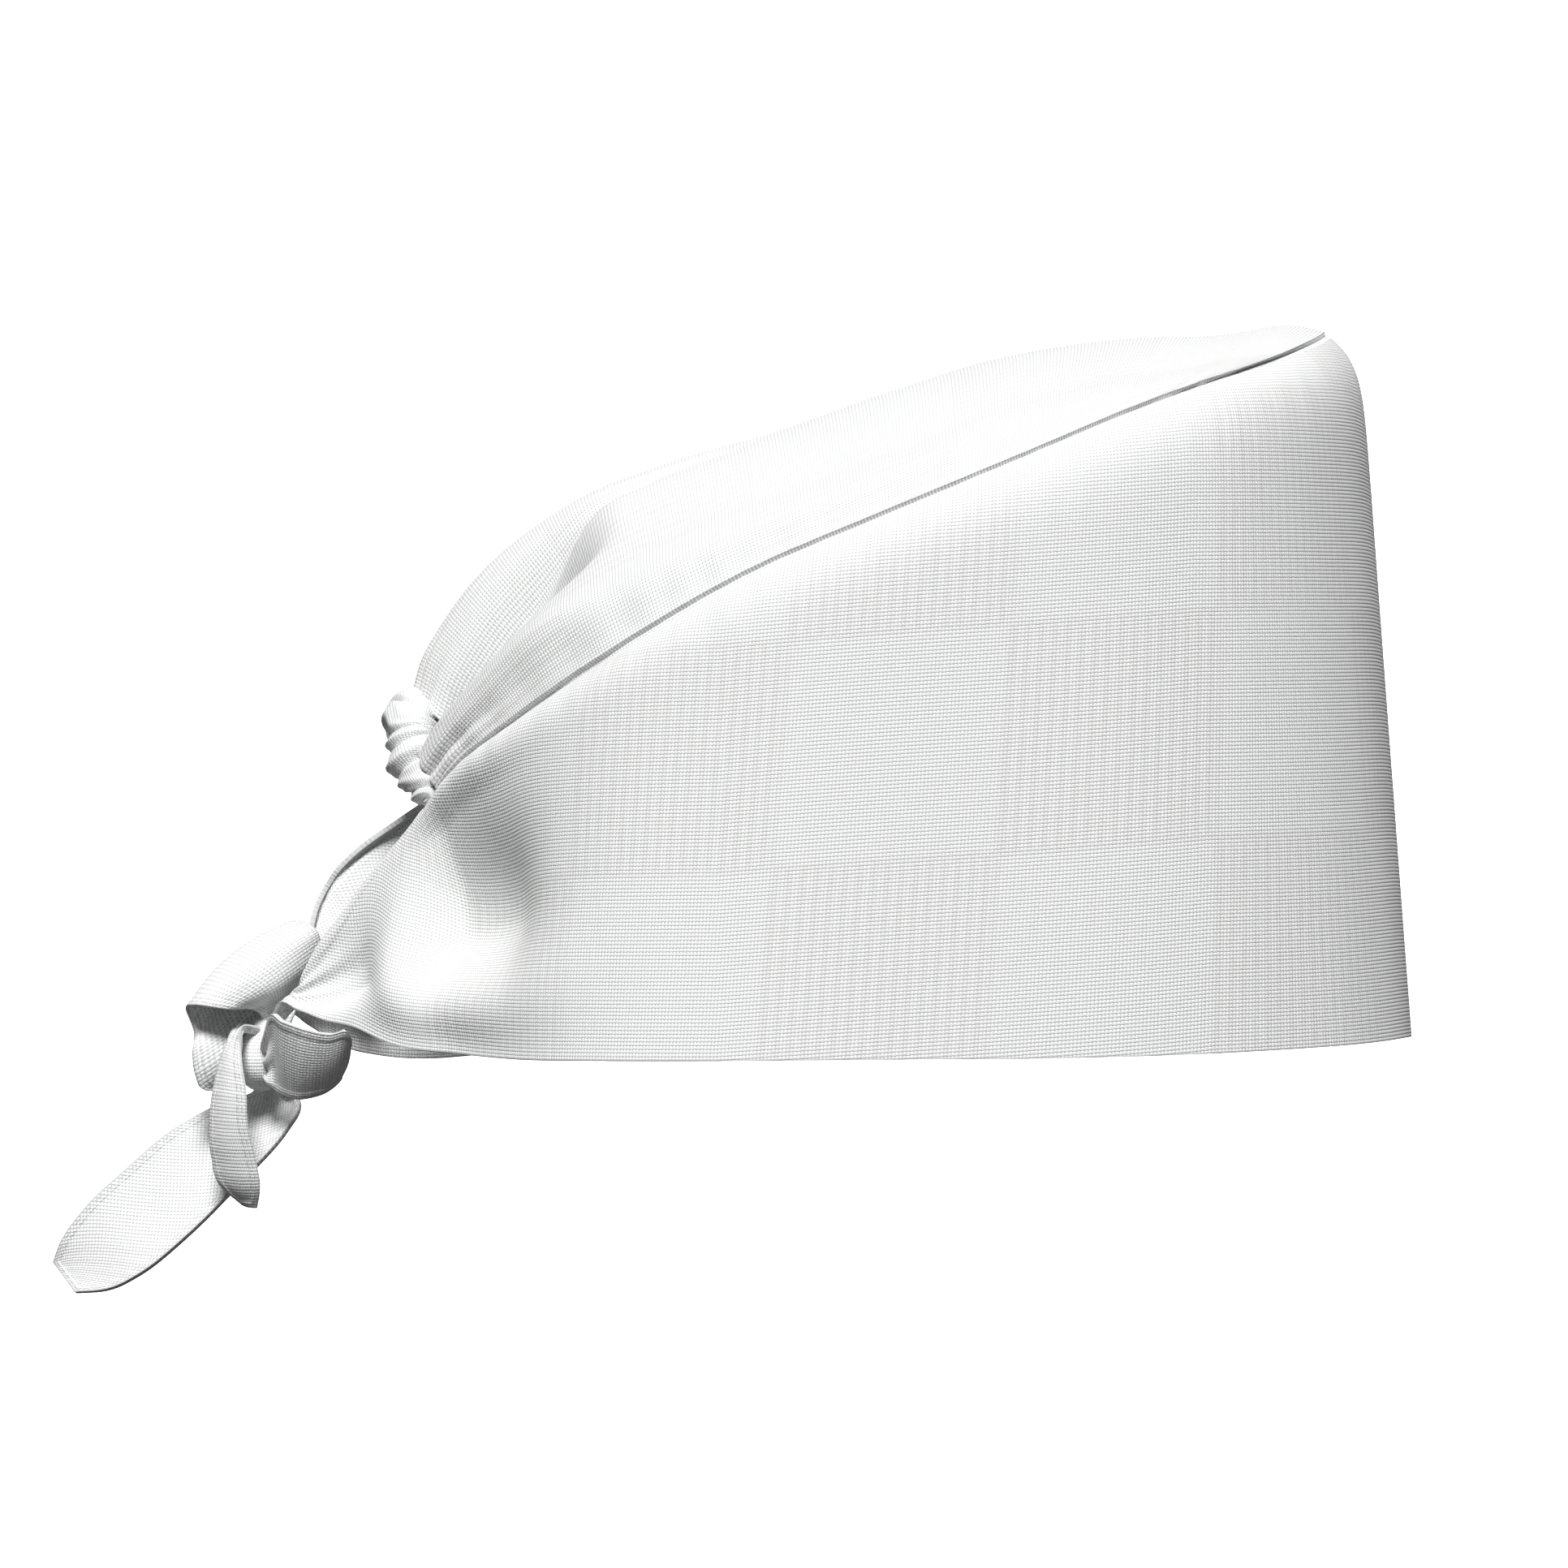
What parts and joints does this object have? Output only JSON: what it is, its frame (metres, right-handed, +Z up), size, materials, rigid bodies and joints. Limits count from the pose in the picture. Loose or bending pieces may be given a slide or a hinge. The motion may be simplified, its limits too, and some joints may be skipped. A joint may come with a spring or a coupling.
{
  "type": "work cap",
  "caption": "White woven cotton tie-back work cap with a tall band, a soft crown gathered behind, and its ties knotted in a bow.",
  "frame": {"origin": "middle of the head opening in the plane of the band's front rim, where the wearer's head comes in", "axes": "+X ahead to the wearer's face, +Y to the wearer's left, +Z up"},
  "size_m": [0.2893, 0.1642, 0.2057],
  "materials": {
    "band_cotton": "matt plain-woven white cotton with faint squares of thin grey stripes",
    "crown_cotton": "matt plain-woven white cotton, its stripes running lengthways",
    "tie_cotton": "matt plain-woven white cotton with stitched edges"
  },
  "bodies": {
    "root": {"side_band": "band_cotton", "crown": "crown_cotton", "rear_casing": "crown_cotton", "knot_wrap": "tie_cotton", "upper_loop": "tie_cotton", "near_loop": "tie_cotton", "short_tail": "tie_cotton", "long_tail": "tie_cotton"}
  },
  "joints": []
}
